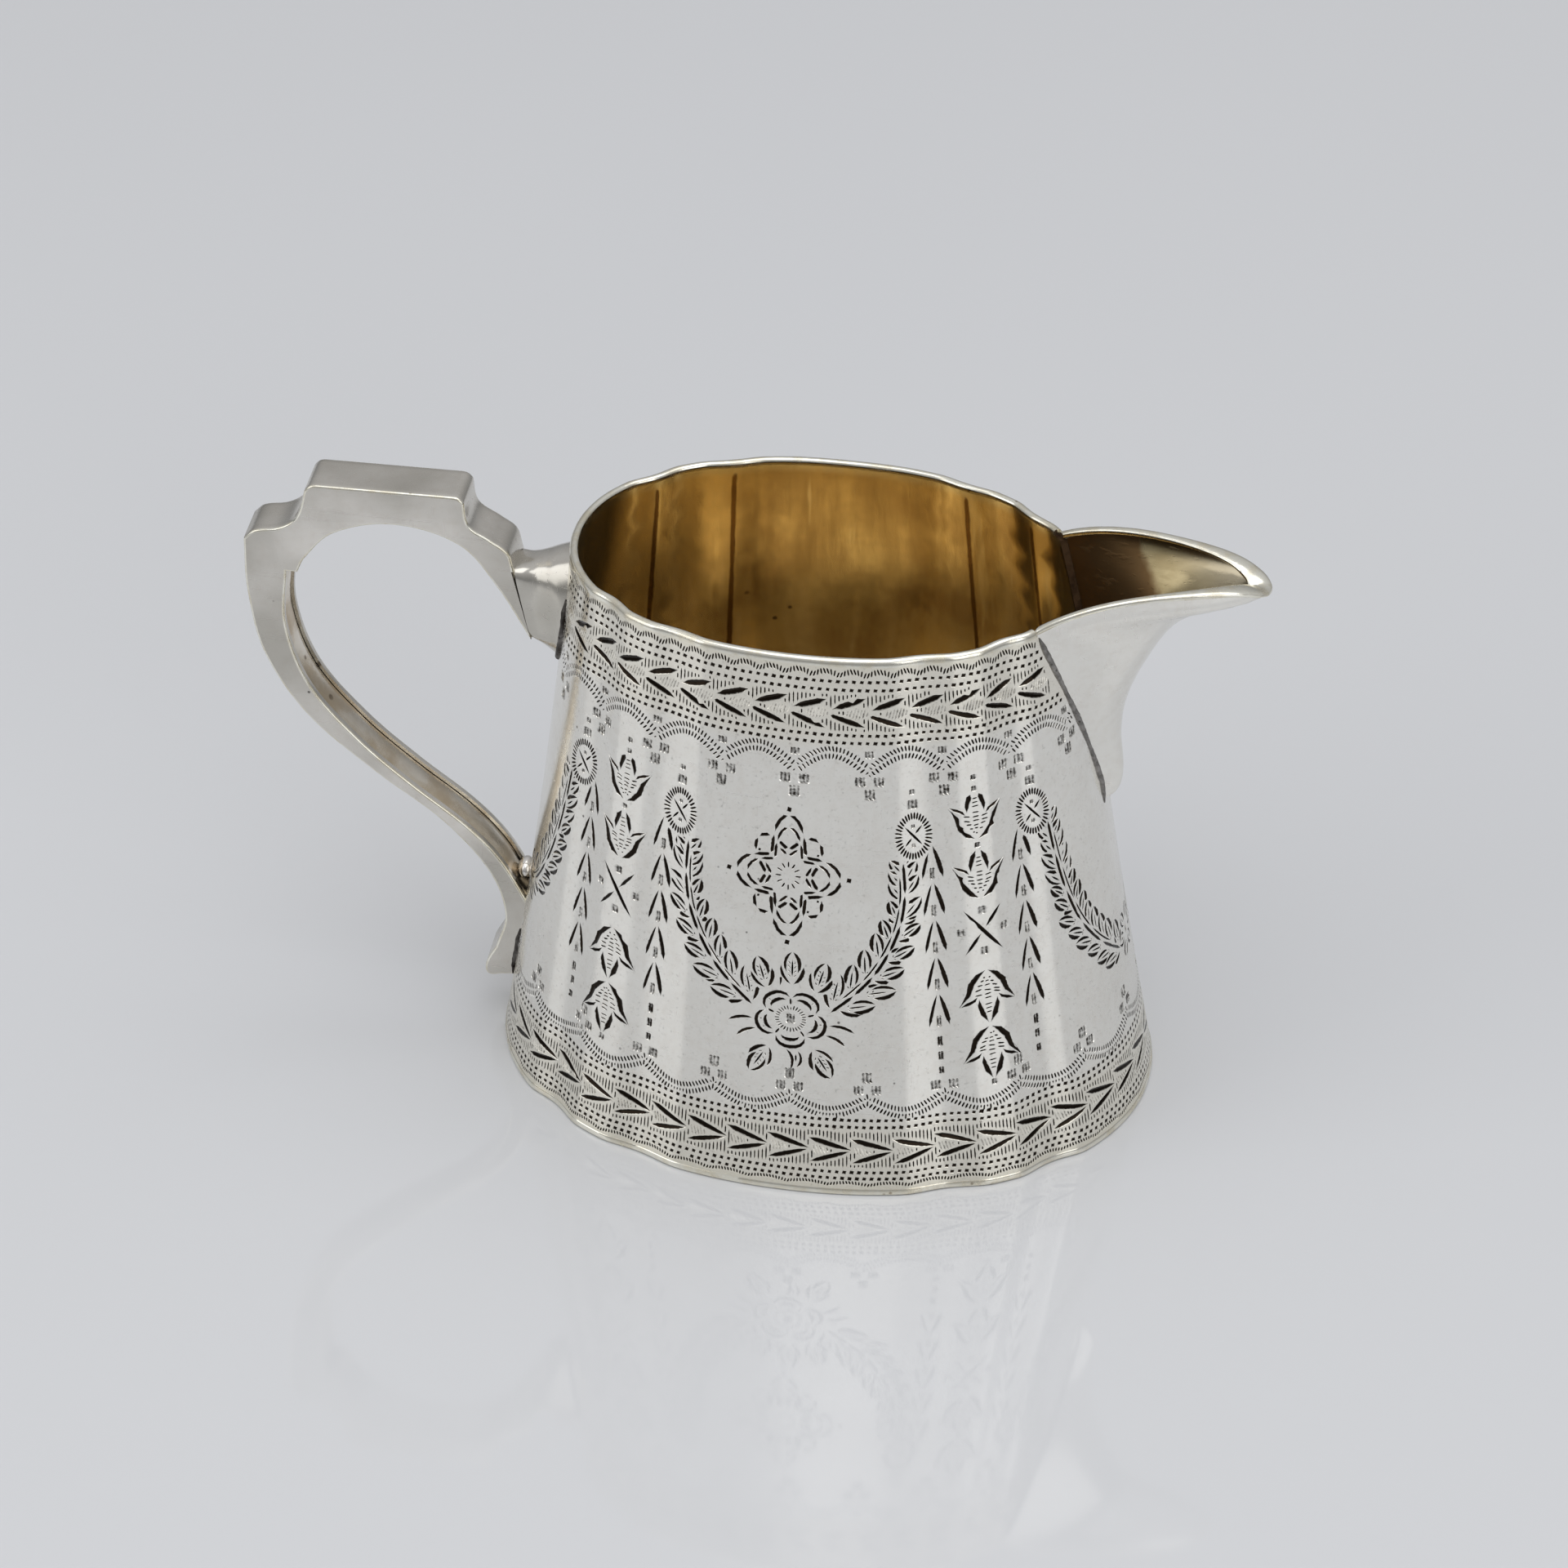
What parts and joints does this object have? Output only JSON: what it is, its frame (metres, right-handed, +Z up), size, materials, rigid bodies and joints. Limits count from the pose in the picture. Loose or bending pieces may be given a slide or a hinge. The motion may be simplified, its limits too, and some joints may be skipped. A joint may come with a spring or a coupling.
{
  "type": "cream jug",
  "caption": "Small oval cream jug: fluted tapering body with flat base, applied pointed spout and hollow stepped strap handle.",
  "frame": {"origin": "centre of the flat base, on the surface that the jug stands on", "axes": "+X towards the spout, +Z up, symmetric about the XZ plane"},
  "size_m": [0.1277, 0.0624, 0.081],
  "materials": {
    "body_silver": "polished silver, bright-cut engraving, gilt inside",
    "base_silver": "worn silver, faintly yellow at the edge",
    "edge_silver": "polished silver wire, faintly yellow",
    "handle_silver": "polished silver with fine scratches and small pits"
  },
  "bodies": {
    "root": {"body_wall": "body_silver", "base_plate": "base_silver", "rim_wire": "edge_silver", "spout_shell": "body_silver", "spout_lip_wire": "edge_silver", "handle_side_near": "handle_silver", "handle_side_far": "handle_silver", "handle_outer_strap": "handle_silver", "handle_inner_strap_upper": "handle_silver", "handle_inner_strap_lower": "handle_silver", "handle_upper_socket": "handle_silver"}
  },
  "joints": []
}
